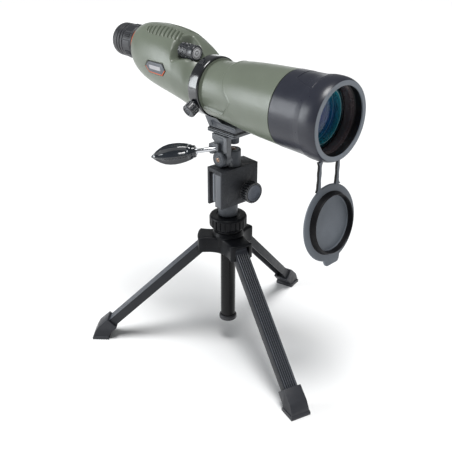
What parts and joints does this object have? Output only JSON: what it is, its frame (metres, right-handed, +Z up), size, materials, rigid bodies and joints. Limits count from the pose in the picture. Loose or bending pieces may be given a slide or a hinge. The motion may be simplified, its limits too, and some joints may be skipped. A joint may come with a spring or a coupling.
{
  "type": "spotting scope",
  "caption": "Straight spotting scope with offset prism housing, hanging lens cap, rotating collar, pan and tilt head with handle, window clamp and compact folding tripod.",
  "frame": {"origin": "on the floor, below the middle of the bounding box", "axes": "+Z up; the objective looks along -Y and the eyepiece is at +Y; +X is the side away from the focus knob"},
  "size_m": [0.2967, 0.3582, 0.3788],
  "materials": {
    "armour": "soft-touch grey-green armour, fine satin",
    "black_plastic": "satin black",
    "gloss_black": "gloss black",
    "grey_plastic": "moulded dark grey",
    "black_rubber": "matte black rubber",
    "grey_rubber": "light grey rubber",
    "cast_grey": "dark grey painted casting",
    "powder_charcoal": "fine powder texture",
    "chrome": "bright plated",
    "copper_screw": "copper plated screw",
    "aluminium": "turned",
    "black_tube": "black anodised",
    "orange": "satin orange",
    "coated_glass": "anti-reflection coated",
    "steel": "plain steel"
  },
  "bodies": {
    "tripod_hub": {"hub": "grey_plastic", "leg_pin_front": "steel", "leg_pin_right": "steel", "leg_pin_left": "steel"},
    "front_leg": {"leg_front": "grey_plastic", "shoe_front": "black_rubber"},
    "right_leg": {"leg_right": "grey_plastic", "shoe_right": "black_rubber"},
    "left_leg": {"leg_left": "grey_plastic", "shoe_left": "black_rubber"},
    "nut": {"lock_nut": "grey_plastic"},
    "column": {"centre_column": "black_tube", "column_cap": "black_rubber", "post": "cast_grey", "clamp_frame": "powder_charcoal", "wall_pad": "black_rubber"},
    "jaw": {"jaw_plate": "cast_grey", "jaw_pad": "black_rubber"},
    "clamp_spindle": {"clamp_screw": "steel", "clamp_knob": "black_plastic", "clamp_knob_insert": "aluminium"},
    "pan_head": {"pan_base": "cast_grey", "pan_screw": "copper_screw", "tilt_cheek": "cast_grey", "tilt_screw": "copper_screw"},
    "tilt_head": {"tilt_bracket": "cast_grey", "platform": "cast_grey", "platform_pad": "black_rubber", "collar_ring": "gloss_black", "collar_foot": "grey_plastic"},
    "quick_screw": {"mount_screw": "grey_plastic"},
    "handle": {"handle_rod": "chrome", "handle_grip": "gloss_black"},
    "ring_lock": {"collar_lock_knob": "black_plastic"},
    "scope": {"body_shell": "armour", "baffle_tube": "black_plastic", "name_badge": "grey_plastic", "objective_hood": "gloss_black", "rim_ring": "grey_rubber", "objective_cell": "aluminium", "objective_front_lens": "coated_glass", "objective_rear_lens": "coated_glass", "objective_retainer": "black_tube", "prism_front": "coated_glass", "prism_rear": "coated_glass", "prism_cage": "aluminium", "eyepiece_barrel": "black_tube", "orange_ring": "orange", "eye_lens": "coated_glass"},
    "focus_wheel": {"focus_knob": "black_plastic", "focus_knob_disc": "chrome"},
    "focus_group": {"focus_carriage": "aluminium", "focus_lens": "coated_glass"},
    "zoom_grip": {"zoom_ring": "black_rubber"},
    "zoom_group": {"zoom_cell": "aluminium", "field_lens": "coated_glass"},
    "cup": {"eyecup": "black_rubber"},
    "strap": {"cap_strap": "grey_rubber"},
    "cover": {"lens_cap": "grey_rubber"}
  },
  "joints": [
    {"name": "leg_fold_front", "type": "hinge", "parent": "tripod_hub", "child": "front_leg", "pos_m": [-0.03024, -0.03671, 0.139], "axis": [0.9558, -0.294, 0], "range_deg": [0, 44]},
    {"name": "leg_fold_right", "type": "hinge", "parent": "tripod_hub", "child": "right_leg", "pos_m": [0.00402, -0.00487, 0.139], "axis": [-0.2233, 0.9748, 0], "range_deg": [0, 44]},
    {"name": "leg_fold_left", "type": "hinge", "parent": "tripod_hub", "child": "left_leg", "pos_m": [-0.04068, 0.00888, 0.139], "axis": [-0.7325, -0.6807, 0], "range_deg": [0, 44]},
    {"name": "lock_nut_turn", "type": "hinge", "parent": "tripod_hub", "child": "nut", "pos_m": [-0.0223, -0.0109, 0.167], "axis": [0, 0, 1], "range_deg": [-30, 360]},
    {"name": "column_slide", "type": "slide", "parent": "tripod_hub", "child": "column", "axis": [0, 0, 1], "range_m": [0, 0.085]},
    {"name": "jaw_slide", "type": "slide", "parent": "column", "child": "jaw", "axis": [0.0872, 0.9962, 0], "range_m": [-0.00155, 0.00148]},
    {"name": "clamp_knob_turn", "type": "hinge", "parent": "jaw", "child": "clamp_spindle", "pos_m": [-0.00633, -0.01165, 0.207], "axis": [0.0872, 0.9962, 0], "range_deg": [-450, 430]},
    {"name": "pan", "type": "hinge", "parent": "column", "child": "pan_head", "pos_m": [-0.0149, -0.0109, 0.24], "axis": [0, 0, 1], "continuous": true},
    {"name": "tilt", "type": "hinge", "parent": "pan_head", "child": "tilt_head", "pos_m": [-0.0149, -0.0084, 0.2465], "axis": [-1, 0, 0], "range_deg": [-30, 55]},
    {"name": "mount_screw_turn", "type": "hinge", "parent": "tilt_head", "child": "quick_screw", "pos_m": [-0.0149, -0.0124, 0.268], "axis": [0, 0, 1], "range_deg": [-720, 0]},
    {"name": "handle_twist", "type": "hinge", "parent": "tilt_head", "child": "handle", "pos_m": [-0.0363, 0.0003, 0.2575], "axis": [-0.6156, 0.7681, -0.1765], "range_deg": [-180, 180]},
    {"name": "collar_lock_turn", "type": "hinge", "parent": "tilt_head", "child": "ring_lock", "pos_m": [-0.0511, 0.0186, 0.30295], "axis": [-0.8829, 0, -0.4695], "range_deg": [-10, 360]},
    {"name": "scope_roll", "type": "hinge", "parent": "tilt_head", "child": "scope", "pos_m": [-0.0149, 0.0186, 0.3222], "axis": [0, 1, 0], "continuous": true},
    {"name": "focus_turn", "type": "hinge", "parent": "scope", "child": "focus_wheel", "pos_m": [-0.0289, 0.0436, 0.3587], "axis": [0, 1, 0], "range_deg": [0, 721]},
    {"name": "focus_slide", "type": "slide", "parent": "scope", "child": "focus_group", "axis": [0, -1, 0], "range_m": [0, 0.006]},
    {"name": "zoom_turn", "type": "hinge", "parent": "scope", "child": "zoom_grip", "pos_m": [-0.0149, 0.1501, 0.3503], "axis": [0, 1, 0], "range_deg": [0, 151]},
    {"name": "zoom_slide", "type": "slide", "parent": "scope", "child": "zoom_group", "axis": [0, 1, 0], "range_m": [0, 0.008]},
    {"name": "eyecup_slide", "type": "slide", "parent": "scope", "child": "cup", "axis": [0, 1, 0], "range_m": [0, 0.008]},
    {"name": "cap_swing", "type": "hinge", "parent": "scope", "child": "strap", "pos_m": [-0.0149, -0.1469, 0.2784], "axis": [-1, 0, 0], "range_deg": [-15, 60]},
    {"name": "cap_fold", "type": "hinge", "parent": "strap", "child": "cover", "pos_m": [-0.0149, -0.1469, 0.2529], "axis": [-1, 0, 0], "range_deg": [-8, 60]}
  ],
  "couplings": [
    {"joint": "clamp_knob_turn", "follows": "jaw_slide", "rad_per_m": 5050.5},
    {"joint": "focus_turn", "follows": "focus_slide", "rad_per_m": 2094.4},
    {"joint": "zoom_turn", "follows": "zoom_slide", "rad_per_m": 327.25}
  ]
}
